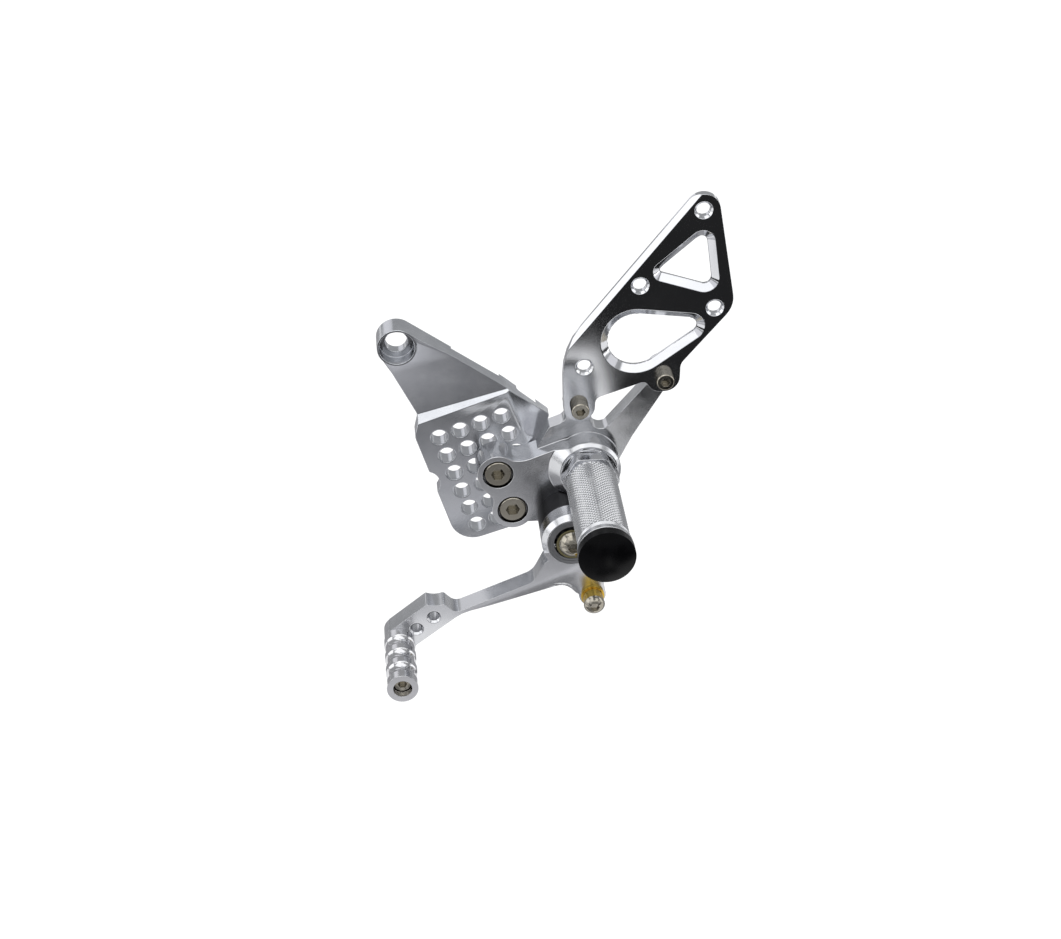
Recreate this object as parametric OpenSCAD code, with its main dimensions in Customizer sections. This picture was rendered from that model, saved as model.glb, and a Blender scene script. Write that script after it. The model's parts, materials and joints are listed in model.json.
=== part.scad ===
// Rear set footrest for a motorbike: a drilled frame plate, an adjustable hanger plate, a heel
// guard, a knurled foot peg and a shift lever on a ball bearing.
// Plates stand in X and Z. Depth is counted along -Y, outwards from the face that meets the frame.
// The origin is on the axis of the frame eye, in that face.

/* [Frame plate] */
// Thickness of the plate at the eye
eye_depth = 13; // [12:0.5:15]
// Outer radius of the eye
eye_r = 9.6; // [9.4:0.1:11]
// Radius of the eye's bore for the frame bolt
eye_bore_r = 5.35; // [4:0.05:6]
// Radius of the counterbore for the bolt head
eye_head_r = 8.5; // [7.5:0.1:8.6]
// Depth of the counterbore
eye_head_depth = 7; // [4:0.5:9]
// Thickness of the plate at the hole matrix
plate_depth = 12; // [11:0.5:12.5]
// Depth that the web's valley floor keeps at the row origin
web_floor = 8.5; // [7:0.5:9.5]
// Angle at which the valley floor deepens along its rows
web_rake = 2.7; // [0:0.1:3]
// Relief milled into the frame side of the web
web_relief = 2; // [1:0.5:3]
// Relief milled into the frame side of the matrix
matrix_relief = 3; // [2:0.5:4]
// Slope of the facet that clears the hanger at the rear end
end_slope = 22; // [10:1:26]
// Angle of the hole rows above level
row_angle = 19.3; // [15:0.1:24]
// Pitch of the hole matrix
pitch = 10.8; // [10.5:0.1:11.2]
// Radius of the matrix holes
matrix_r = 4; // [3:0.1:4.2]

/* [Hanger] */
// Thickness of the hanger's body
hanger_t = 16; // [14:0.5:18]
// Thickness of the two guard arms
arm_t = 9; // [7:0.5:10]
// Outer radius of the foot peg's boss
boss_r = 15.8; // [15:0.1:17]
// Height of the cone on the boss
cone_h = 5; // [3:0.5:6]
// Radius of the screw lobes
lobe_r = 10.2; // [9.5:0.1:11]

/* [Heel guard] */
// Thickness of the guard
guard_t = 4; // [3.5:0.5:5]
// Width of the bevel round the windows
window_bevel = 3.5; // [1:0.5:4]
// Depth of the bevels
bevel_depth = 2.6; // [1:0.2:3]
// Width of the bevel on the long front edge
edge_bevel = 2.2; // [1:0.2:3]
// Radius of the guard's free holes
guard_hole_r = 3.3; // [2.5:0.1:3.5]
// Chamfer on the free holes
hole_chamfer = 1.1; // [0.5:0.1:1.3]

/* [Foot peg] */
// Length of the collar that seats on the boss
collar_len = 9; // [7:0.5:12]
// Overhang of the collar past the barrel
collar_lip = 1.4; // [1:0.1:1.6]
// Distance across the collar's wrench flats
flat_w = 25; // [22:0.5:26]
// Length of the knurled barrel
barrel_len = 62; // [50:1:80]
// Radius of the barrel
barrel_r = 12.5; // [11:0.1:13]
// Length of the end cap, dome included
cap_len = 8; // [7:0.5:12]
// Height of the barrel's end ring
ring_h = 0.6; // [0.2:0.1:0.9]
// Overhang of the end cap past the barrel
cap_lip = 0.9; // [0.6:0.1:1.4]

/* [Shift lever] */
// Distance forwards from the pivot to the nearest toe peg position
lever_reach = 68.2; // [60:0.1:76]
// Height of the pivot above the nearest toe peg position
lever_drop = 39.5; // [34:0.1:45]
// Length of the spacer between hanger and lever
spacer_len = 13.6; // [12:0.2:18]
// Radius of the spacer
spacer_r = 14.8; // [13:0.1:15.5]
// Thickness of the lever
lever_t = 11; // [10:0.5:13]
// Outer radius of the lever's bearing boss
lever_boss_r = 15; // [14.5:0.1:16]
// Chamfer on the bearing boss
boss_chamfer = 2.4; // [1:0.2:2.6]
// Width of the bevel under the lever
lever_bevel = 3; // [1:0.2:4]
// Depth of the bevel under the lever
lever_bevel_depth = 1.5; // [0.5:0.1:2]
// Outer radius of the ball bearing
bearing_r = 12; // [11.5:0.1:12]
// Inner radius of the ball bearing
bearing_bore_r = 6; // [5:0.1:6.5]
// Width of the ball bearing
bearing_w = 6; // [5:0.5:7]
// Radial thickness of the bearing's races
race_t = 1.7; // [1.5:0.05:1.9]
// Number of balls
ball_count = 11; // [9:1:12]
// Radius of a ball
ball_r = 1.5; // [1.2:0.1:1.6]
// Pitch of the toe peg's positions
toe_pitch = 10.8; // [10.4:0.1:12]
// Length of the toe peg
toe_len = 40; // [30:1:45]
// Radius of the toe peg
toe_r = 7.6; // [7:0.1:8]
// Length of the brass bush on the linkage ear
bush_len = 8.5; // [6:0.5:12]
// Radius of the brass bush
bush_r = 5; // [4.5:0.1:6]

/* [Fits] */
// Radial clearance of screws, races and bores
fit = 0.05; // [0.02:0.01:0.1]
// Running gap between faces of parts that turn against each other
run_gap = 0.4; // [0.3:0.05:0.8]

/* [Hidden] */
$fn = 72;
eps = 0.01;
past = 1;

// Depths of the faces, counted outwards from the frame side
hanger_back = plate_depth;
hanger_front = hanger_back + hanger_t;
arm_front = hanger_back + arm_t;
guard_front = arm_front + guard_t;
cone_front = hanger_front + cone_h;
collar_front = cone_front + collar_len;
barrel_front = collar_front + barrel_len;
spacer_front = hanger_front + spacer_len;
lever_back = spacer_front + run_gap;
lever_front = lever_back + lever_t;
bearing_back = lever_front - bearing_w;

// Turned ends of the foot peg, by their overhang past the barrel
cap_r = barrel_r + cap_lip;
collar_r = barrel_r + collar_lip;

// Screw sizes: metric socket heads and button heads
m5_r = 2.5;
m5_head_r = 4.25;
m5_head_h = 5;
m8_r = 4;
m8_head_r = 6.5;
m8_head_h = 8;
m8_button_r = 7;
m8_button_h = 4.4;
m6_r = 3;
m6_button_r = 5.25;
m6_button_h = 3.3;
m6_nut_w = 10;
m6_nut_h = 5;
head_room = 1;
head_sink = 0.4;
head_chamfer = 0.4;
edge_break = 0.4;

// Places in X and Z
matrix_origin = [19.3, -50.57];
peg_at = [90.8, -61.7];
pivot_at = [81, -89];
guard_front_at = [86.6, -29.6];
guard_rear_at = [127.3, -15.4];
toe_first = pivot_at - [lever_reach, lever_drop];
toe_angle = 37.2;
linkage_at = [91, -119.7];
upper_cell = [2, 2];
lower_cell = [2, 4];
row_counts = [4, 4, 4, 3, 3, 2];

function along(angle) = [cos(angle), sin(angle)];
function unit(v) = v / norm(v);
function turned(v) = atan2(v.y, v.x);

// Place of a matrix hole, i along its row and j rows down
function cell(i, j) = matrix_origin + pitch * (i * along(row_angle) + j * along(row_angle - 90));

// Place of a toe peg position, counted from the one nearest the pivot
function toe_at(n) = toe_first - n * toe_pitch * along(toe_angle);

// Centre of the arc that rounds corner b between its neighbours a and c with radius b[2]
function round_centre(a, b, c) =
    let (p = [b.x, b.y],
         u = unit([a.x, a.y] - p),
         v = unit([c.x, c.y] - p))
    p + unit(u + v) * b[2] / sin(acos(u * v) / 2);

// Arc that rounds corner b between its neighbours a and c with radius b[2]
function corner(a, b, c) =
    b[2] == 0 ? [[b.x, b.y]] :
    let (p = [b.x, b.y],
         u = unit([a.x, a.y] - p),
         v = unit([c.x, c.y] - p),
         centre = round_centre(a, b, c),
         reach = b[2] / tan(acos(u * v) / 2),
         from = turned(p + u * reach - centre),
         sweep = (turned(p + v * reach - centre) - from + 540) % 360 - 180,
         steps = max(2, ceil(abs(sweep) / 12)))
    [for (k = [0:steps]) centre + b[2] * along(from + sweep * k / steps)];

// Outline through corners [x, z, radius]
function rounded(path) =
    let (n = len(path))
    [for (k = [0:n - 1]) each corner(path[(k + n - 1) % n], path[k], path[(k + 1) % n])];

// Angle of the side that touches circle a and then circle b, as its outward normal
function side(a, b) =
    let (gap = [b.x - a.x, b.y - a.y])
    turned(gap) - 90 + asin((a[2] - b[2]) / norm(gap));

// Outline of a belt round circles [x, z, radius] given anticlockwise, each grown by a width
function belt(rounds, grow = 0) =
    let (n = len(rounds))
    [for (k = [0:n - 1])
        let (c = rounds[k],
             from = side(rounds[(k + n - 1) % n], c),
             to = side(c, rounds[(k + 1) % n]),
             sweep = (to - from + 720) % 360,
             steps = max(2, ceil(sweep / 10)))
        for (s = [0:steps]) [c.x, c.y] + (c[2] + grow) * along(from + sweep * s / steps)];

// Extrudes a plan drawn in X and Z between two depths
module slab(from, to) {
    translate([0, -from, 0]) rotate([90, 0, 0]) linear_extrude(to - from) children();
}

// Round bar or bore along the depth, a cone where the second radius is given
module bar(at, from, to, r, r2 = -1) {
    translate([at.x, -from, at.y]) rotate([90, 0, 0]) cylinder(h = to - from, r1 = r, r2 = r2 < 0 ? r : r2);
}

// Hexagonal socket or nut along the depth
module hexagon(at, from, to, across) {
    translate([at.x, -from, at.y]) rotate([90, 0, 0]) cylinder(h = to - from, r = across / sqrt(3), $fn = 6);
}

// Turned piece along the depth, from a profile of [radius, depth]
module turned_piece(at) {
    translate([at.x, 0, at.y]) rotate([90, 0, 0]) rotate_extrude() children();
}

// Prism along the rows, from a profile of [depth, height across the rows]
module along_rows(angle, rake = 0) {
    rotate([0, -angle, 0]) rotate([0, 0, -rake]) translate([-60, 0, 0])
        rotate([90, 0, 90]) linear_extrude(180) children();
}

/* Frame plate */
web_angle = 17;
valley_top = 2;
valley_foot = -15.2;
ramp_foot = -39.9;
matrix_top = -43.4;
end_start = 40.5;
pad_start = 39;

// Corners of the plate round from below the eye, the eye itself left to its own disc
plate_corners = [
    [5.3, 8.0, 0],
    [51.4, -24.2, 30],
    [74.0, -43.4, 2],
    [67.0, -62.0, 12],
    [56.0, -103.4, 6],
    [27.8, -112.6, 12],
    [7.2, -49.5, 8],
    [9.4, -40.0, 6],
    [-8.6, -4.3, 0],
    [-4.0, 4.0, 0]];
notch_at = [12, -77];
notch_r = 7.2;

module plate_outline() {
    difference() {
        polygon(rounded(plate_corners));
        translate(notch_at) circle(notch_r);
    }
}

// Air over the valley between the eye and the matrix
module web_valley() {
    top = eye_depth + past;
    along_rows(web_angle, web_rake)
        polygon([
            [-eye_depth, valley_top],
            [-web_floor, valley_foot],
            [-web_floor, ramp_foot],
            [-top, ramp_foot - (top - web_floor)],
            [-top, valley_top]]);
}

// Slanted air that clears the hanger at the rear end of the plate
module end_facet() {
    reach = 40;
    rotate([0, -row_angle, 0]) translate([0, 0, -90]) linear_extrude(100)
        polygon([
            [end_start, -plate_depth],
            [end_start + reach, -plate_depth + reach * tan(end_slope)],
            [end_start + reach, -eye_depth - past],
            [end_start, -eye_depth - past]]);
}

// Blind pocket with round ends on the frame side of the rear pad
module pad_pocket() {
    pocket_r = 3.5;
    pocket_depth = 3.5;
    rotate([0, -row_angle, 0]) slab(-past, pocket_depth)
        polygon(belt([[47.5, -49.5, pocket_r], [47.5, -63, pocket_r]]));
}

// Box in the row frame, from one u and v to another, between two depths
module row_box(u, v, from, to) {
    rotate([0, -row_angle, 0]) translate([u[0], -to, v[0]]) cube([u[1] - u[0], to - from, v[1] - v[0]]);
}

module frame_plate() {
    color("silver") difference() {
        union() {
            difference() {
                slab(0, eye_depth) plate_outline();
                web_valley();
                row_box([-60, 120], [-140, ramp_foot], plate_depth, eye_depth + past);
                end_facet();
                row_box([-60, pad_start], [matrix_top, valley_foot], -past, web_relief);
                row_box([-60, pad_start], [-140, matrix_top], -past, matrix_relief);
                pad_pocket();
            }
            bar([0, 0], 0, eye_depth, eye_r);
        }
        bar([0, 0], -past, eye_depth + past, eye_bore_r);
        bar([0, 0], eye_depth - eye_head_depth, eye_depth + past, eye_head_r);
        for (j = [0:len(row_counts) - 1])
            for (i = [0:row_counts[j] - 1]) {
                bar(cell(i, j), 0, eye_depth, matrix_r);
                bar(cell(i, j), plate_depth - edge_break, plate_depth + eps,
                    matrix_r, matrix_r + edge_break + eps);
            }
    }
}

/* Hanger */
upper_at = cell(upper_cell.x, upper_cell.y);
lower_at = cell(lower_cell.x, lower_cell.y);
cone_base_r = collar_r + cone_h + 0.5;

// Corners of the flat body between the lobes and the bosses
body_corners = [
    [upper_at.x, upper_at.y + lobe_r, 0],
    [57.3, -57.6, 14],
    [79, -49.4, 24],
    [88, -48, 0],
    [peg_at.x + boss_r, peg_at.y, 0],
    [104.6, -72, 8],
    [pivot_at.x + spacer_r, pivot_at.y, 0],
    [pivot_at.x, pivot_at.y, 0],
    [72, -91.2, 0],
    [61.5, -91.2, 3],
    [lower_at.x, lower_at.y - lobe_r + 1, 0],
    [lower_at.x - lobe_r + 0.2, lower_at.y + 1, 0],
    [44.8, -77.6, 5],
    [upper_at.x - lobe_r + 2, upper_at.y - lobe_r + 3, 0],
    [upper_at.x - lobe_r + 0.2, upper_at.y, 0]];

// Corners of the two guard arms and the saddle between them
arm_corners = [
    [66.0, -55.0, 2],
    [72.2, -42.4, 2],
    [82.0, -38.6, 5],
    [79.6, -31, 0],
    [guard_front_at.x, guard_front_at.y, 0],
    [93.0, -33, 0],
    [92.6, -53.3, 4.8],
    [121.5, -18.0, 0],
    [guard_rear_at.x, guard_rear_at.y, 0],
    [134.2, -14.0, 0],
    [113.2, -49.2, 6],
    [107.0, -62.0, 0],
    [peg_at.x, peg_at.y, 0]];
arm_lobe_r = 7;

module body_plan() {
    polygon(rounded(body_corners));
    translate(upper_at) circle(lobe_r);
    translate(lower_at) circle(lobe_r);
    translate(peg_at) circle(boss_r);
    translate(pivot_at) circle(spacer_r);
}

module arm_plan() {
    polygon(rounded(arm_corners));
    translate(guard_front_at) circle(arm_lobe_r);
    translate(guard_rear_at) circle(arm_lobe_r);
}

module hanger_plate() {
    color("silver") difference() {
        union() {
            slab(hanger_back, hanger_front) body_plan();
            slab(hanger_back, arm_front) arm_plan();
            intersection() {
                slab(hanger_front - eps, cone_front) body_plan();
                bar(peg_at, hanger_front - eps, cone_front, cone_base_r, collar_r + 0.2);
            }
        }
        for (at = [upper_at, lower_at]) {
            bar(at, hanger_back - past, hanger_front + past, m8_r + fit);
            bar(at, hanger_front - m8_head_h - head_sink, hanger_front + past, m8_head_r + head_room);
        }
        for (at = [guard_front_at, guard_rear_at])
            bar(at, hanger_back - past, arm_front + past, m5_r + fit);
        bar(peg_at, hanger_back - past, cone_front + past, m8_r + fit);
        bar(pivot_at, hanger_back - past, hanger_front + past, m8_r + fit);
        bar(pivot_at, hanger_front, cone_front + past, spacer_r + 0.3);
    }
}

// Socket head cap screw whose head stands on a seat and whose shank runs inwards
module cap_screw(at, seat, length, r, head_r, head_h, key) {
    difference() {
        union() {
            bar(at, seat - length, seat + eps, r - fit);
            bar(at, seat, seat + head_h - head_chamfer, head_r);
            bar(at, seat + head_h - head_chamfer, seat + head_h, head_r, head_r - head_chamfer);
        }
        hexagon(at, seat + head_h * 0.45, seat + head_h + past, key);
    }
}

// Button head screw with a domed head
module button_screw(at, seat, length, r, head_r, head_h, key) {
    sphere_r = (head_r * head_r + head_h * head_h) / (2 * head_h);
    difference() {
        union() {
            bar(at, seat - length, seat + eps, r - fit);
            intersection() {
                bar(at, seat, seat + head_h, head_r);
                translate([at.x, -(seat + head_h - sphere_r), at.y]) sphere(sphere_r);
            }
        }
        hexagon(at, seat + head_h * 0.4, seat + head_h + past, key);
    }
}

hanger_seat = hanger_front - m8_head_h - head_sink;

module hanger_screw(at) {
    color("gray") cap_screw(at, hanger_seat, hanger_seat - matrix_relief - 1, m8_r, m8_head_r, m8_head_h, 6);
}

module hanger_screw_upper() {
    hanger_screw(upper_at);
}

module hanger_screw_lower() {
    hanger_screw(lower_at);
}

/* Heel guard */
// Corners of the guard clockwise from its tip
guard_corners = [
    [147.7, 90.5, 8],
    [159.8, 21.8, 13],
    [135.0, -8.2, 6],
    [134.8, -22.8, 7.3],
    [121.4, -22.8, 6],
    [118.4, -16.9, 3],
    [94.2, -25.1, 4],
    [94.1, -37.1, 7.3],
    [79.0, -37.1, 7.4],
    [78.0, 1.5, 40]];
// Rounds at the corners of the two windows, anticlockwise, at the bottom of their bevels
upper_window = [[125.3, 40.9, 1.6], [144.9, 36.4, 3.4], [143.0, 55.1, 2.7]];
lower_window = [[113.2, 4.9, 13.5], [138.6, 11.5, 3.8]];
free_holes = [[143.0, 71.4], [114.4, 34.0], [150.3, 21.0], [88.7, -7.9]];

// Window with a bevel that opens outwards
module window(rounds) {
    slab(arm_front - past, guard_front + past) polygon(belt(rounds));
    hull() for (c = rounds)
        bar(c, guard_front - bevel_depth, guard_front + eps, c[2], c[2] + window_bevel, $fn = 40);
}

// Wedge cut off the long front edge, between the corners a and b of the outline
module edge_wedge(a, b) {
    run = [a.x - b.x, a.y - b.y];
    translate([b.x, -guard_front, b.y]) rotate([0, -turned(run), 0]) translate([-20, 0, 0])
        rotate([90, 0, 90]) linear_extrude(norm(run) + 40)
            polygon([
                [-past, past],
                [bevel_depth, past],
                [bevel_depth, 0],
                [0, -edge_bevel],
                [-past, -edge_bevel]]);
}

module heel_guard() {
    color("gainsboro") difference() {
        slab(arm_front, guard_front) polygon(rounded(guard_corners));
        window(upper_window);
        window(lower_window);
        edge_wedge(guard_corners[0], guard_corners[9]);
        for (at = free_holes) {
            bar(at, arm_front - past, guard_front + past, guard_hole_r);
            bar(at, guard_front - hole_chamfer, guard_front + eps,
                guard_hole_r, guard_hole_r + hole_chamfer + eps);
        }
        for (at = [guard_front_at, guard_rear_at])
            bar(at, arm_front - past, guard_front + past, m5_r + fit);
    }
}

module guard_screw(at) {
    color("gray") cap_screw(at, guard_front, guard_t + arm_t - 1, m5_r, m5_head_r, m5_head_h, 4);
}

module guard_screw_front() {
    guard_screw(guard_front_at);
}

module guard_screw_rear() {
    guard_screw(guard_rear_at);
}

/* Foot peg */
cap_skirt = 5;
bolt_seat = barrel_front - 14;

module peg_collar() {
    ring = 2;
    color("silver") difference() {
        union() {
            bar(peg_at, cone_front, cone_front + ring, collar_r);
            intersection() {
                bar(peg_at, cone_front, collar_front, collar_r);
                hexagon(peg_at, cone_front, collar_front, flat_w);
            }
        }
        bar(peg_at, cone_front - past, collar_front + past, m8_r + fit);
    }
}

module peg_barrel() {
    end = barrel_front;
    groove = 1;
    shoulder = 1.2;
    ring_from = end - 5;
    color("lightgray") difference() {
        turned_piece(peg_at) polygon([
            [0, collar_front],
            [barrel_r - shoulder, collar_front],
            [barrel_r, collar_front + shoulder],
            [barrel_r, ring_from - 2 * groove],
            [barrel_r - groove, ring_from - groove],
            [barrel_r - groove, ring_from],
            [barrel_r + ring_h, ring_from + groove + ring_h],
            [barrel_r + ring_h, end - groove],
            [barrel_r + ring_h - groove, end],
            [0, end]]);
        bar(peg_at, collar_front - past, end + past, m8_r + fit);
        bar(peg_at, bolt_seat, end + past, m8_head_r + head_room);
    }
}

module peg_bolt() {
    color("gray") cap_screw(peg_at, bolt_seat, bolt_seat - hanger_back - 1, m8_r, m8_head_r, m8_head_h, 6);
}

module peg_end_cap() {
    dome = 3;
    plug_r = m8_head_r + head_room - fit;
    rim = barrel_front + cap_len - dome;
    sphere_r = (cap_r * cap_r + dome * dome) / (2 * dome);
    half = asin(cap_r / sphere_r);
    steps = 12;
    color("black") turned_piece(peg_at) polygon([
        [0, barrel_front - cap_skirt],
        [plug_r, barrel_front - cap_skirt],
        [plug_r, barrel_front],
        [cap_r, barrel_front],
        for (k = [0:steps]) [0, rim + dome - sphere_r] + sphere_r * along(90 - half + half * k / steps)]);
}

/* Lever pivot */
land_outer_r = bearing_r - race_t;
land_inner_r = bearing_bore_r + race_t;
nose_r = land_inner_r - 0.1;
lever_rear_r = nose_r + 2;
washer_r = land_inner_r + 0.3;
ball_track_r = (land_outer_r + land_inner_r) / 2;
bearing_middle = (bearing_back + lever_front) / 2;
shield_t = 0.5;
shield_w = 1.2;
shield_inset = 0.2;
shield_fit = 0.02;
spacer_chamfer = 0.8;
nose_back = 0.2;
washer_t = 1.2;

module pivot_spacer() {
    color("dimgray") difference() {
        union() {
            bar(pivot_at, hanger_front, spacer_front - spacer_chamfer, spacer_r);
            bar(pivot_at, spacer_front - spacer_chamfer, spacer_front, spacer_r, spacer_r - spacer_chamfer);
            bar(pivot_at, spacer_front - eps, bearing_back, nose_r);
            bar(pivot_at, bearing_back - eps, lever_front - nose_back, bearing_bore_r - fit);
        }
        bar(pivot_at, hanger_front - past, lever_front + past, m8_r + fit);
    }
}

module bearing_ring(inner, outer) {
    difference() {
        bar(pivot_at, bearing_back, lever_front, outer);
        bar(pivot_at, bearing_back - past, lever_front + past, inner);
        turned_piece(pivot_at) translate([ball_track_r, bearing_middle]) circle(ball_r + fit, $fn = 32);
    }
}

module bearing_inner_race() {
    color("gray") bearing_ring(bearing_bore_r, land_inner_r);
}

module pivot_washer() {
    color("darkkhaki") difference() {
        bar(pivot_at, lever_front, lever_front + washer_t, washer_r);
        bar(pivot_at, lever_front - past, lever_front + washer_t + past, m8_r + fit);
    }
}

module pivot_screw() {
    seat = lever_front + washer_t;
    color("gray") button_screw(pivot_at, seat, seat - hanger_back - 1, m8_r, m8_button_r, m8_button_h, 5);
}

module bearing_outer_race() {
    color("gray") bearing_ring(land_outer_r, bearing_r);
}

module bearing_balls() {
    color("gray") for (k = [0:ball_count - 1]) {
        at = pivot_at + ball_track_r * along(360 * k / ball_count);
        translate([at.x, -bearing_middle, at.y]) sphere(ball_r, $fn = 24);
    }
}

module bearing_shields() {
    color("darkgray") for (from = [bearing_back + shield_inset, lever_front - shield_inset - shield_t])
        difference() {
            bar(pivot_at, from, from + shield_t, land_outer_r - shield_fit);
            bar(pivot_at, from - past, from + shield_t + past, land_outer_r - shield_w);
        }
}

/* Shift lever */
toe_end = toe_at(2);
toe_socket = 9;
ear_r = 6.6;
ear_foot = [83.6, -119.6, 5];
arch = [77.6, -113.4, 7];
arm_foot = [toe_first.x + 13.8, toe_first.y + 1.6, 20];
bevel_from = toe_first + [26.8, 5];
scallop_at = toe_first + [1.1, 17.3];
scallop_r = 10.6;
lever_corners = [
    [toe_end.x - 4.6, toe_end.y + 5.9, 0],
    [toe_first.x - 3.6, toe_first.y + 7.6, 0.8],
    [toe_first.x + 5.6, toe_first.y + 7.3, 1.5],
    [toe_first.x + 10.8, toe_first.y + 1.9, 5],
    [62.2, -110.6, 9],
    [67.4, -100, 0],
    [pivot_at.x, pivot_at.y, 0],
    [94, -98, 0],
    [linkage_at.x + ear_r, linkage_at.y, 0],
    [linkage_at.x, linkage_at.y, 0],
    ear_foot,
    arch,
    arm_foot,
    [toe_end.x + 4.6, toe_end.y - 5.9, 0]];

// Bevel on the lower front edge: a cone round the arch and a facet that runs out along the arm
module lever_bevel_cut() {
    centre = round_centre(ear_foot, arch, arm_foot);
    outer_r = arch[2] + lever_bevel;
    gap = centre - bevel_from;
    slope = lever_bevel_depth / lever_bevel;
    low = lever_bevel + 1;
    bar(centre, lever_front - lever_bevel_depth, lever_front + eps, arch[2], outer_r + slope * eps);
    translate([bevel_from.x, -lever_front, bevel_from.y])
        rotate([0, -turned(gap) - asin(outer_r / norm(gap)), 0])
            rotate([90, 0, 90]) linear_extrude(sqrt(gap * gap - outer_r * outer_r))
                polygon([[-past, 0], [0, 0], [slope * low, -low], [-past, -low]]);
}

// Ring cut off the front edge of the bearing boss, down to where the arm leaves it
module boss_bevel() {
    reach = lever_boss_r + 4;
    intersection() {
        difference() {
            bar(pivot_at, lever_front - boss_chamfer, lever_front + past, reach);
            bar(pivot_at, lever_front - boss_chamfer - past, lever_front + 2 * past,
                lever_boss_r + past, lever_boss_r - boss_chamfer - 2 * past);
        }
        translate([pivot_at.x - reach, -lever_front - past, pivot_at.y - 5])
            cube([2 * reach, boss_chamfer + 2 * past, 2 * reach]);
    }
}

module shift_lever() {
    color("silver") difference() {
        union() {
            slab(lever_back, lever_front) polygon(rounded(lever_corners));
            bar(toe_end, lever_back, lever_front, toe_r - 0.3);
            bar(pivot_at, lever_back, lever_front, lever_boss_r);
            bar(linkage_at, lever_back, lever_front, ear_r);
        }
        boss_bevel();
        lever_bevel_cut();
        bar(scallop_at, lever_back - past, lever_front + past, scallop_r);
        bar(pivot_at, bearing_back, lever_front + past, bearing_r + fit);
        bar(pivot_at, lever_back - past, bearing_back + eps, lever_rear_r);
        for (n = [0:2])
            bar(toe_at(n), lever_back - past, lever_front + past, m5_r);
        for (n = [0, 1])
            bar(toe_at(n), lever_front - hole_chamfer, lever_front + eps, m5_r, m5_r + hole_chamfer + eps);
        bar(linkage_at, lever_back - past, lever_front + past, m6_r + fit);
    }
}

module toe_peg() {
    socket_r = 4.5;
    waist = 1.5;
    base = lever_front;
    collar = 3.2;
    rings = 3;
    span = (toe_len - 2 * collar) / rings;
    groove_r = span * 0.45;
    color("gainsboro") difference() {
        bar(toe_end, base, base + toe_len, toe_r);
        for (k = [0:rings - 1])
            turned_piece(toe_end)
                translate([toe_r + groove_r - waist, base + collar + (k + 0.5) * span])
                    circle(groove_r, $fn = 40);
        bar(toe_end, base - past, base + toe_len + past, m5_r + fit);
        bar(toe_end, base + toe_len - toe_socket, base + toe_len + past, socket_r);
    }
}

module toe_peg_screw() {
    seat = lever_front + toe_len - toe_socket;
    color("gray") cap_screw(toe_end, seat, seat - lever_back - 1, m5_r, m5_head_r, m5_head_h, 4);
}

module linkage_bush() {
    color("goldenrod") difference() {
        union() {
            bar(linkage_at, lever_front, lever_front + 1.5, bush_r + 0.8);
            bar(linkage_at, lever_front, lever_front + bush_len, bush_r);
        }
        bar(linkage_at, lever_front - past, lever_front + bush_len + past, m6_r + fit);
    }
}

module linkage_screw() {
    seat = lever_front + bush_len;
    color("gray")
        button_screw(linkage_at, seat, bush_len + lever_t + m6_nut_h + 1, m6_r, m6_button_r, m6_button_h, 4);
}

module linkage_nut() {
    color("gray") difference() {
        hexagon(linkage_at, lever_back - m6_nut_h, lever_back, m6_nut_w);
        bar(linkage_at, lever_back - m6_nut_h - past, lever_back + past, m6_r + fit);
    }
}

frame_plate();
hanger_plate();
hanger_screw_upper();
hanger_screw_lower();
heel_guard();
guard_screw_front();
guard_screw_rear();
peg_collar();
peg_barrel();
peg_bolt();
peg_end_cap();
pivot_spacer();
bearing_inner_race();
pivot_washer();
pivot_screw();
bearing_outer_race();
bearing_balls();
bearing_shields();
shift_lever();
toe_peg();
toe_peg_screw();
linkage_bush();
linkage_screw();
linkage_nut();
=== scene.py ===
import bpy
import bmesh
import json
import math
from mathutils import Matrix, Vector

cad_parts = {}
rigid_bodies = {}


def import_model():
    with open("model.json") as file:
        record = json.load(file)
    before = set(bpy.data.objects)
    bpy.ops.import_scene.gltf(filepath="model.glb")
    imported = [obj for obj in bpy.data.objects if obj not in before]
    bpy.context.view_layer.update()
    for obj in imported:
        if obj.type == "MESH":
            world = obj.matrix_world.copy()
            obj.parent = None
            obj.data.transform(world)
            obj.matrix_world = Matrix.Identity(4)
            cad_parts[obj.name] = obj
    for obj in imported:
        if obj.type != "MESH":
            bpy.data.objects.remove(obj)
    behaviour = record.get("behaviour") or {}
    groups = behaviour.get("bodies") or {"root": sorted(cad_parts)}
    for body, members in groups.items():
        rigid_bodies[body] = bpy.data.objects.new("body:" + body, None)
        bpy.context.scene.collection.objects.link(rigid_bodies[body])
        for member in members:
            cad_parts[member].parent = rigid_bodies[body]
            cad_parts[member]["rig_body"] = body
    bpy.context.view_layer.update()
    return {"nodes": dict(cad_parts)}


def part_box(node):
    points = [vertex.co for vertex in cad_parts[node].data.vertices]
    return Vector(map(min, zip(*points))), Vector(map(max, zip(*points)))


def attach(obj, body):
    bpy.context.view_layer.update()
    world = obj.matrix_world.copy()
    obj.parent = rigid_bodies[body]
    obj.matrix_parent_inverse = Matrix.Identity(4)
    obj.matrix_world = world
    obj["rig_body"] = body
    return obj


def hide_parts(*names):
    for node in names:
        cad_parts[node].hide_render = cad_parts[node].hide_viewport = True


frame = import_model()

MM = 0.001
# Faces flatter than the first angle are joined, and edges sharper than the second are broken
FLAT = math.radians(0.4)
SHARP = math.radians(28)


def radius_of(node):
    """A turned piece's greatest radius, in millimetres."""
    low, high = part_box(node)
    return round((high.x - low.x) / 2 / MM, 2)


def axis_of(node):
    """Where a turned piece's axis crosses X and Z, in millimetres.

    X is counted from the +X side, where the facets have a corner on the true circle."""
    low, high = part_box(node)
    return round(high.x / MM - radius_of(node), 2), round((low.z + high.z) / 2 / MM, 2)


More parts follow.
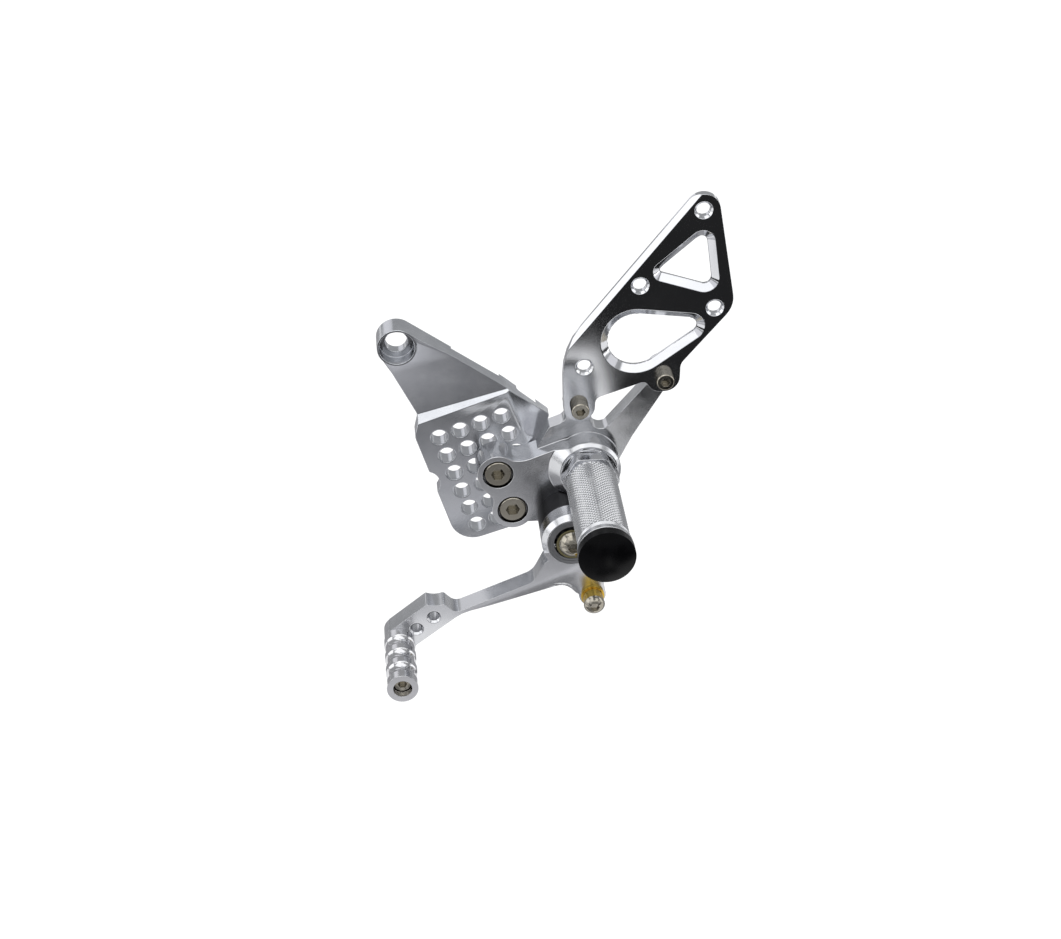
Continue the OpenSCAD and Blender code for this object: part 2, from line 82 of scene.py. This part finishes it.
def depths_of(node):
    """A piece's inner and outer depth, counted outwards from the frame side, in millimetres."""
    low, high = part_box(node)
    return -high.y / MM, -low.y / MM


PEG = axis_of("peg_barrel")
PIVOT = axis_of("bearing_outer_race")
TOE_PEG = axis_of("toe_peg")
LINKAGE = axis_of("linkage_bush")


def linear(code):
    """Linear colour of an sRGB hex value."""
    parts = [int(code[k:k + 2], 16) / 255 for k in (1, 3, 5)]
    return [p / 12.92 if p <= 0.04045 else ((p + 0.055) / 1.055) ** 2.4 for p in parts] + [1.0]


def add(tree, kind, inputs=None, stops=(), **settings):
    """Adds a node, with its settings, values or links for its inputs, and a colour ramp's stops."""
    node = tree.nodes.new(kind)
    for name, value in settings.items():
        setattr(node, name, value)
    for name, value in (inputs or {}).items():
        if isinstance(value, bpy.types.NodeSocket):
            tree.links.new(value, node.inputs[name])
        else:
            node.inputs[name].default_value = value
    if stops:
        elements = node.color_ramp.elements
        while len(elements) < len(stops):
            elements.new(0.5)
        for element, (position, colour) in zip(elements, stops):
            element.position = position
            element.color = colour
    return node


def new_material(name):
    material = bpy.data.materials.new(name)
    material.use_nodes = True
    material.node_tree.nodes.clear()
    return material, material.node_tree


def new_object(name, data, place=(0.0, 0.0, 0.0), turn=(0.0, 0.0, 0.0)):
    piece = bpy.data.objects.new(name, data)
    piece.location = place
    piece.rotation_euler = turn
    bpy.context.scene.collection.objects.link(piece)
    return piece


def finish_metal(name, light, dark, rough, grain, depth,
                 spread=0.08, turned_at=None, groove=0.0, drift=9.0):
    """Metal with a drifting tone, an uneven sheen, a fine grain and, round an axis, turning marks.

    light and dark are the tone's two ends, rough the middle of the sheen and spread its width. In
    millimetres, grain is the size of the texture, depth its height, drift the size of the tone's
    clouds and groove the pitch of the turning marks."""
    material, tree = new_material(name)
    where = add(tree, "ShaderNodeTexCoord").outputs["Object"]
    if turned_at:
        centre = (-turned_at[0] * MM, 0.0, -turned_at[1] * MM)
        where = add(tree, "ShaderNodeMapping", {"Vector": where, "Location": centre}).outputs["Vector"]
    tone = add(tree, "ShaderNodeTexNoise", {
        "Vector": where, "Scale": 1000 / drift, "Detail": 3.0, "Roughness": 0.55})
    fine = add(tree, "ShaderNodeTexNoise", {
        "Vector": where, "Scale": 1000 / grain, "Detail": 2.0, "Roughness": 0.6})
    colour = add(tree, "ShaderNodeValToRGB", {"Fac": tone.outputs["Fac"]},
                 stops=[(0.3, linear(dark)), (0.7, linear(light))])
    sheen = add(tree, "ShaderNodeMapRange", {
        "Value": tone.outputs["Fac"], "From Min": 0.3, "From Max": 0.7,
        "To Min": rough - spread / 2, "To Max": rough + spread / 2})
    height = fine.outputs["Fac"]
    if groove:
        rings = add(tree, "ShaderNodeTexWave", {
            "Vector": where, "Scale": 1000 / groove * math.pi / 10, "Distortion": 0.4,
            "Detail": 1.0, "Detail Scale": 2.0}, wave_type="RINGS", rings_direction="Y")
        height = add(tree, "ShaderNodeMath", {0: rings.outputs["Fac"], 1: fine.outputs["Fac"]},
                     operation="ADD").outputs["Value"]
    bump = add(tree, "ShaderNodeBump", {"Height": height, "Strength": 0.6, "Distance": depth * MM})
    shader = add(tree, "ShaderNodeBsdfPrincipled", {
        "Base Color": colour.outputs["Color"], "Metallic": 1.0,
        "Roughness": sheen.outputs["Result"], "Normal": bump.outputs["Normal"]})
    add(tree, "ShaderNodeOutputMaterial", {"Surface": shader.outputs["BSDF"]})
    return material


def moulded_cap():
    # Injection-moulded nylon, black and smooth: a soft broad gloss over a faint pearl of the tool
    material, tree = new_material("moulded black nylon")
    where = add(tree, "ShaderNodeTexCoord").outputs["Object"]
    tone = add(tree, "ShaderNodeTexNoise", {"Vector": where, "Scale": 160.0, "Detail": 2.0})
    fine = add(tree, "ShaderNodeTexNoise", {"Vector": where, "Scale": 2200.0, "Detail": 2.0})
    colour = add(tree, "ShaderNodeValToRGB", {"Fac": tone.outputs["Fac"]},
                 stops=[(0.3, linear("#060607")), (0.7, linear("#0B0B0D"))])
    sheen = add(tree, "ShaderNodeMapRange", {
        "Value": tone.outputs["Fac"], "From Min": 0.3, "From Max": 0.7, "To Min": 0.22, "To Max": 0.32})
    bump = add(tree, "ShaderNodeBump", {
        "Height": fine.outputs["Fac"], "Strength": 0.25, "Distance": 0.03 * MM})
    shader = add(tree, "ShaderNodeBsdfPrincipled", {
        "Base Color": colour.outputs["Color"], "Roughness": sheen.outputs["Result"], "IOR": 1.5,
        "Specular IOR Level": 0.12, "Normal": bump.outputs["Normal"]})
    add(tree, "ShaderNodeOutputMaterial", {"Surface": shader.outputs["BSDF"]})
    return material


# Clear anodised aluminium, fine milled then etched: an even grey satin with a fine silky grain
PLATE_SATIN = finish_metal("anodised aluminium plate", "#D2D4D8", "#C7C9CE", 0.20, 0.35, 0.006)
HANGER_SATIN = finish_metal("anodised aluminium hanger", "#D2D3D6", "#C7C8CB", 0.19, 0.35, 0.006)
LEVER_SATIN = finish_metal("anodised aluminium lever", "#D6D7DA", "#CCCDD0", 0.22, 0.35, 0.008)
# Aluminium sheet polished on a wheel: a mirror that is only faintly uneven
MIRROR = finish_metal("polished aluminium sheet", "#D8D9DC", "#CFD0D4", 0.10, 0.9, 0.002,
                      spread=0.04, drift=20.0)
# Turned aluminium, polished in the lathe: rings of fine tool marks under a bright gloss
COLLAR_TURNED = finish_metal("polished turned aluminium collar", "#D6D7DA", "#CBCCD0", 0.16, 0.6, 0.001,
                             turned_at=PEG, groove=0.5)
TOE_TURNED = finish_metal("polished turned aluminium toe peg", "#D8D8DA", "#CDCDD0", 0.15, 0.6, 0.004,
                          turned_at=TOE_PEG, groove=0.5)
# Knurled aluminium, clear anodised: bright crests, so the faces carry only a faint grain
KNURLED = finish_metal("knurled aluminium", "#CCCDCF", "#BFC0C3", 0.24, 0.4, 0.006, turned_at=PEG)
# Spacer of black anodised aluminium: nearly black, with a grey sheen along its turned side
SPACER_DARK = finish_metal("black anodised spacer", "#3B3B3D", "#2E2E31", 0.38, 0.4, 0.006,
                           turned_at=PIVOT, groove=0.4)
# Ground bearing steel, oiled: grey, with a duller face than the screws
RACE_GROUND = finish_metal("ground bearing steel", "#8D8E90", "#7E7F82", 0.36, 0.3, 0.004,
                           turned_at=PIVOT, groove=0.3)
BALL_POLISHED = finish_metal("polished ball steel", "#B4B4B6", "#A9A9AC", 0.12, 0.4, 0.001)
# Zinc plated washer with an olive passivation
WASHER_OLIVE = finish_metal("olive passivated washer", "#8E8768", "#7C7658", 0.34, 0.3, 0.005,
                            turned_at=PIVOT, groove=0.4)
# Cold headed stainless screws, tumbled: warm grey and lightly polished
SCREWS = {
    node: finish_metal("stainless " + node.replace("_", " "), "#AEA99E", "#9C978B", 0.15, 0.4, 0.003,
                       turned_at=axis_of(node), groove=0.45)
    for node in ("hanger_screw_upper", "hanger_screw_lower", "guard_screw_front", "guard_screw_rear",
                 "peg_bolt", "pivot_screw", "toe_peg_screw", "linkage_screw", "linkage_nut")}
# Turned brass, bright where the rod end runs
BRASS = finish_metal("turned brass bush", "#D6B75A", "#BF9C3C", 0.18, 0.4, 0.004,
                     turned_at=LINKAGE, groove=0.4)
CAP_NYLON = moulded_cap()


def apply_modifiers(piece):
    """Turns a piece into the plain mesh that its modifiers make."""
    graph = bpy.context.evaluated_depsgraph_get()
    made = bpy.data.meshes.new_from_object(piece.evaluated_get(graph))
    piece.modifiers.clear()
    piece.data = made


def dress(node, material, edge, weld=0.002):
    """A copy of a CAD node with its hard edges broken by a small round, in its material.

    edge is the width of the round, none where it is 0, and weld the distance at which points are
    joined, both in millimetres."""
    source = frame["nodes"][node]
    mesh = source.data.copy()
    mesh.materials.clear()
    mesh.materials.append(material)
    # The imported normals belong to the loose triangles and would bend the merged faces
    if "custom_normal" in mesh.attributes:
        mesh.attributes.remove(mesh.attributes["custom_normal"])
    work = bmesh.new()
    work.from_mesh(mesh)
    bmesh.ops.remove_doubles(work, verts=work.verts, dist=weld * MM)
    bmesh.ops.dissolve_limit(work, angle_limit=FLAT, verts=work.verts, edges=work.edges)
    for face in work.faces:
        face.smooth = True
        face.material_index = 0
    work.to_mesh(mesh)
    work.free()
    piece = new_object(node + "_dressed", mesh)
    if edge:
        bevel = piece.modifiers.new("broken edges", "BEVEL")
        bevel.width = edge * MM
        bevel.segments = 2
        bevel.limit_method = "ANGLE"
        bevel.angle_limit = SHARP
        bevel.use_clamp_overlap = False
        bevel.harden_normals = True
        apply_modifiers(piece)
    else:
        mesh.set_sharp_from_angle(angle=SHARP)
    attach(piece, source["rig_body"])
    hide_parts(node)


dress("frame_plate", PLATE_SATIN, 0.35)
dress("hanger_plate", HANGER_SATIN, 0.35)
dress("shift_lever", LEVER_SATIN, 0.2, weld=0.1)
dress("heel_guard", MIRROR, 0.2)
dress("peg_collar", COLLAR_TURNED, 0.3)
dress("toe_peg", TOE_TURNED, 0.25)
dress("peg_end_cap", CAP_NYLON, 0)
dress("pivot_spacer", SPACER_DARK, 0.2)
dress("bearing_inner_race", RACE_GROUND, 0.15)
dress("bearing_outer_race", RACE_GROUND, 0.15)
dress("bearing_shields", RACE_GROUND, 0)
dress("bearing_balls", BALL_POLISHED, 0)
dress("pivot_washer", WASHER_OLIVE, 0.2)
dress("linkage_bush", BRASS, 0.2)
for screw, steel in SCREWS.items():
    dress(screw, steel, 0.15)


def knurled_barrel():
    """The foot peg's barrel with a diamond knurl: a net of small pyramids round the turned body."""
    start, end = depths_of("peg_barrel")
    # Turned sizes of the CAD barrel, in millimetres: its back shoulder, groove, end ring and bolt bore
    shoulder, shoulder_lip = 1.2, 0.1
    ring_from, ring_height, groove = end - 5, 0.6, 1.0
    bore_r, seat_r, seat_from = 4.05, 7.5, end - 14
    radius = radius_of("peg_barrel") - ring_height
    # The knurl's length, its run-out, the distance between its crests and the depth of its valleys
    knurl_from, knurl_to, run_out = start + 1.6, end - 7.6, 0.5
    pitch, valley = 2.1, 0.5
    around = 2 * round(2 * math.pi * radius / pitch)
    rows = 2 * round((knurl_to - knurl_from) / pitch)
    step = (knurl_to - knurl_from) / rows
    turn = 2 * math.pi / around
    work = bmesh.new()

    def ring(radii, y):
        """A ring of points at a depth, at one radius or at two that take turns."""
        points = []
        for k in range(around):
            r = radii[k % len(radii)]
            x, z = PEG[0] + r * math.cos(k * turn), PEG[1] + r * math.sin(k * turn)
            points.append(work.verts.new((x * MM, -y * MM, z * MM)))
        return points

    def band(a, b):
        """Smooth faces between two rings."""
        for k in range(around):
            n = (k + 1) % around
            work.faces.new((a[k], a[n], b[n], b[k])).smooth = True

    def net(a, b, row):
        """Flat halves between two rings, split so that the valleys join and the crests stand alone."""
        for k in range(around):
            n = (k + 1) % around
            if (k + row) % 2:
                halves = ((a[k], a[n], b[n]), (a[k], b[n], b[k]))
            else:
                halves = ((a[k], a[n], b[k]), (a[n], b[n], b[k]))
            for corners in halves:
                work.faces.new(corners)

    inner = ring((bore_r,), start)
    back = ring((radius - shoulder,), start)
    last = ring((radius - shoulder_lip,), start + shoulder - shoulder_lip)
    band(inner, back)
    band(back, last)
    for row in range(rows + 1):
        radii = (radius, radius - valley) if row % 2 else (radius - valley, radius)
        following = ring(radii, knurl_from + row * step)
        if row == 0:
            band(last, following)
        else:
            net(last, following, row)
        last = following
    profile = [(radius, knurl_to + run_out),
               (radius, ring_from - 2 * groove),
               (radius - groove, ring_from - groove),
               (radius - groove, ring_from),
               (radius + ring_height, ring_from + groove + ring_height),
               (radius + ring_height, end - groove),
               (radius + ring_height - groove, end),
               (seat_r, end),
               (seat_r, seat_from),
               (bore_r, seat_from)]
    for r, y in profile:
        following = ring((r,), y)
        band(last, following)
        last = following
    band(last, inner)
    bmesh.ops.recalc_face_normals(work, faces=work.faces)
    mesh = bpy.data.meshes.new("knurled barrel")
    work.to_mesh(mesh)
    work.free()
    mesh.set_sharp_from_angle(angle=math.radians(24))
    mesh.materials.append(KNURLED)
    piece = new_object("peg_barrel_knurled", mesh)
    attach(piece, "foot_rest")
    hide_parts("peg_barrel")


knurled_barrel()


def rib_tree():
    """Geometry nodes that stand round ribs on a circle, as on the side of a socket head."""
    tree = bpy.data.node_groups.new("head ribs", "GeometryNodeTree")
    face = tree.interface
    face.new_socket("Geometry", in_out="OUTPUT", socket_type="NodeSocketGeometry")
    sockets = {}
    for name, kind in (("Count", "NodeSocketInt"), ("Circle", "NodeSocketFloat"),
                       ("Rib", "NodeSocketFloat"), ("Height", "NodeSocketFloat"),
                       ("Place", "NodeSocketVector"), ("Metal", "NodeSocketMaterial")):
        sockets[name] = face.new_socket(name, in_out="INPUT", socket_type=kind).identifier
    given = add(tree, "NodeGroupInput").outputs
    circle = add(tree, "GeometryNodeMeshCircle", {"Vertices": given["Count"], "Radius": given["Circle"]})
    rib = add(tree, "GeometryNodeMeshCylinder", {
        "Vertices": 6, "Radius": given["Rib"], "Depth": given["Height"]})
    row = add(tree, "GeometryNodeInstanceOnPoints", {
        "Points": circle.outputs["Mesh"], "Instance": rib.outputs["Mesh"]})
    real = add(tree, "GeometryNodeRealizeInstances", {"Geometry": row.outputs["Instances"]})
    placed = add(tree, "GeometryNodeTransform", {
        "Geometry": real.outputs["Geometry"], "Translation": given["Place"],
        "Rotation": (math.radians(90), 0.0, 0.0)})
    steel = add(tree, "GeometryNodeSetMaterial", {
        "Geometry": placed.outputs["Geometry"], "Material": given["Metal"]})
    add(tree, "NodeGroupOutput", {"Geometry": steel.outputs["Geometry"]})
    return tree, sockets


RIBS, RIB_SOCKETS = rib_tree()


def rib_head(node, count, below, height):
    """Ribs on the side of one socket head, from some way below its top, in millimetres."""
    x, z = axis_of(node)
    top = depths_of(node)[1] - below
    # Each rib is a small round bar that stands out by a part of its radius
    rib_r, stands_out = 0.34, 0.16
    piece = new_object(node + "_ribs", bpy.data.meshes.new(node + "_ribs"))
    ribs = piece.modifiers.new("ribs", "NODES")
    ribs.node_group = RIBS
    values = {
        "Count": count, "Circle": (radius_of(node) - rib_r + stands_out) * MM,
        "Rib": rib_r * MM, "Height": height * MM,
        "Place": (x * MM, -(top - height / 2) * MM, z * MM), "Metal": SCREWS[node]}
    for name, value in values.items():
        ribs[RIB_SOCKETS[name]] = value
    apply_modifiers(piece)
    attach(piece, "foot_rest")


for screw in ("hanger_screw_upper", "hanger_screw_lower"):
    rib_head(screw, count=44, below=0.6, height=6.6)
for screw in ("guard_screw_front", "guard_screw_rear"):
    rib_head(screw, count=32, below=0.5, height=4.2)


def sheet(name, across, along, material, place, turn=(0.0, 0.0, 0.0)):
    """A flat rectangle of the studio, with its spans in its own X and Y."""
    (left, right), (near, far) = across, along
    mesh = bpy.data.meshes.new(name)
    mesh.from_pydata([(left, near, 0), (right, near, 0), (right, far, 0), (left, far, 0)],
                     [], [(0, 1, 2, 3)])
    mesh.materials.append(material)
    piece = new_object(name, mesh, place, turn)
    return piece


def pale_floor():
    # Matt white sweep: white to the camera and in reflections, with a faint soft shadow
    material, tree = new_material("white floor")
    path = add(tree, "ShaderNodeLightPath").outputs
    seen = add(tree, "ShaderNodeMath", {0: path["Is Camera Ray"], 1: path["Is Glossy Ray"]},
               operation="MAXIMUM")
    seen = add(tree, "ShaderNodeMath", {0: seen.outputs[0], 1: path["Is Transmission Ray"]},
               operation="MAXIMUM")
    share = add(tree, "ShaderNodeMath", {0: seen.outputs[0], 1: 0.8}, operation="MULTIPLY")
    paint = add(tree, "ShaderNodeBsdfDiffuse", {"Color": linear("#F4F4F4")})
    glow = add(tree, "ShaderNodeEmission", {"Color": (1.0, 1.0, 1.0, 1.0), "Strength": 1.2})
    mix = add(tree, "ShaderNodeMixShader", {
        0: share.outputs[0], 1: paint.outputs[0], 2: glow.outputs[0]})
    add(tree, "ShaderNodeOutputMaterial", {"Surface": mix.outputs[0]})
    return material


FLOOR_Z = -0.172
sheet("floor", (-3.0, 3.0), (-3.0, 3.0), pale_floor(), (0.0, 0.5, FLOOR_Z))
# Floor cards lie a little over the floor, and the shades a little over them
ON_FLOOR = (0.0, 0.0, FLOOR_Z + 0.010)
ON_CARD = (0.0, 0.0, FLOOR_Z + 0.012)
CENTRE = (0.07, -0.04, -0.03)


def card(name, across, along, tones, place, turn=(0.0, 0.0, 0.0)):
    """A studio card that only the metal's reflections show.

    tones holds (y, tone) pairs that the card fades through, counted along its own Y."""
    material, tree = new_material(name)
    height = add(tree, "ShaderNodeSeparateXYZ", {
        "Vector": add(tree, "ShaderNodeTexCoord").outputs["Object"]}).outputs["Y"]
    first, last = tones[0][0], tones[-1][0] + 0.001
    share = add(tree, "ShaderNodeMapRange", {"Value": height, "From Min": first, "From Max": last})
    # The cards are a touch blue, as the silver of the plates is
    shade = add(tree, "ShaderNodeValToRGB", {"Fac": share.outputs["Result"]}, stops=[
        ((y - first) / (last - first), (tone, tone, tone * 1.03, 1.0)) for y, tone in tones])
    glow = add(tree, "ShaderNodeEmission", {"Color": shade.outputs["Color"]})
    add(tree, "ShaderNodeOutputMaterial", {"Surface": glow.outputs[0]})
    piece = sheet(name, across, along, material, place, turn)
    piece.visible_camera = False
    piece.visible_diffuse = False
    piece.visible_shadow = False
    piece.visible_transmission = False


def even(along, tone):
    """Tones of a card that doesn't fade."""
    return [(y, tone) for y in along]


def facing(place, aim):
    """Rotation that turns a card or a lamp towards a point."""
    return (Vector(aim) - Vector(place)).to_track_quat("-Z", "Y").to_euler()


# In front, a grey card fades towards the plates, and two dark ones leave a light notch for the guard
card("grey floor card", (-0.12, 0.10), (-0.335, -0.10),
     [(-0.335, 0.08), (-0.30, 0.12), (-0.255, 0.20), (-0.20, 0.30), (-0.15, 0.5), (-0.10, 0.75)],
     ON_FLOOR)
card("near dark card", (0.133, 1.2), (-0.335, -0.2), even((-0.335, -0.2), 0.022), ON_FLOOR)
card("far dark card", (-1.2, 1.2), (-1.85, -0.335), even((-1.85, -0.335), 0.022), ON_FLOOR)
# Two small shades, which the hanger and the foot of the matrix reflect
card("hanger shade card", (0.072, 0.13), (-0.20, -0.155), even((-0.20, -0.155), 0.12), ON_CARD)
card("matrix shade card", (0.03, 0.09), (-0.1, -0.06), even((-0.1, -0.06), 0.28), ON_CARD)
# A grey card behind, which darkens the sides of the turned parts against the white
card("back grey card", (-0.7, 0.9), (-0.05, 1.1), even((-0.05, 1.1), 0.4), ON_FLOOR)
# Light cards that the bevels round the windows and the sides of the lever reflect
for name, place, width, height in (("left front card", (-0.85, -0.88, 0.36), 0.8, 0.5),
                                   ("right front card", (1.1, -0.70, 0.27), 0.7, 0.4),
                                   ("left back card", (-0.39, 0.98, 0.33), 0.5, 0.4)):
    card(name, (-width / 2, width / 2), (-height / 2, height / 2), even((-1.0, 1.0), 0.95),
         place, facing(place, CENTRE))


def lamp(name, place, size, power):
    """A softbox that faces the part."""
    light = bpy.data.lights.new(name, "AREA")
    light.shape = "RECTANGLE"
    light.size, light.size_y = size
    light.energy = power
    new_object(name, light, place, facing(place, CENTRE))


# The metals show the lamps themselves, so each one's power gives it about the tone of white paper
lamp("top softbox", (-0.05, 0.10, 1.05), (1.6, 1.2), 6.5)
lamp("left softbox", (-1.1, -0.35, 0.35), (0.8, 0.8), 2.4)
lamp("right strip", (1.1, -0.25, 0.25), (0.3, 0.9), 1.0)
lamp("overhead front", (0.05, -1.15, 1.15), (2.6, 0.9), 8.0)

world = bpy.data.worlds.new("studio")
bpy.context.scene.world = world
world.use_nodes = True
sky = world.node_tree
sky.nodes.clear()
path = add(sky, "ShaderNodeLightPath").outputs
ambient = add(sky, "ShaderNodeBackground", {"Color": (0.97, 0.985, 1.0, 1.0), "Strength": 0.42})
white = add(sky, "ShaderNodeBackground", {"Color": (1.0, 1.0, 1.0, 1.0), "Strength": 1.0})
both = add(sky, "ShaderNodeMixShader", {
    0: path["Is Camera Ray"], 1: ambient.outputs[0], 2: white.outputs[0]})
add(sky, "ShaderNodeOutputWorld", {"Surface": both.outputs[0]})
bpy.context.scene.view_settings.view_transform = "Standard"

# The camera as solved from the photograph: its focal length in pixels of the photograph's width
PHOTO_WIDTH = 1061
FOCAL_PIXELS = 2221
SENSOR = 36.0
EYE = (-0.0188, -0.9528, 0.4929)
LINE_OF_SIGHT = (0.0753, 0.8553, -0.5127)

camera = bpy.data.cameras.new("camera")
camera.sensor_width = SENSOR
camera.lens = FOCAL_PIXELS / PHOTO_WIDTH * SENSOR
camera.clip_start = 0.05
bpy.context.scene.camera = new_object(
    "camera", camera, EYE, Vector(LINE_OF_SIGHT).to_track_quat("-Z", "Y").to_euler())
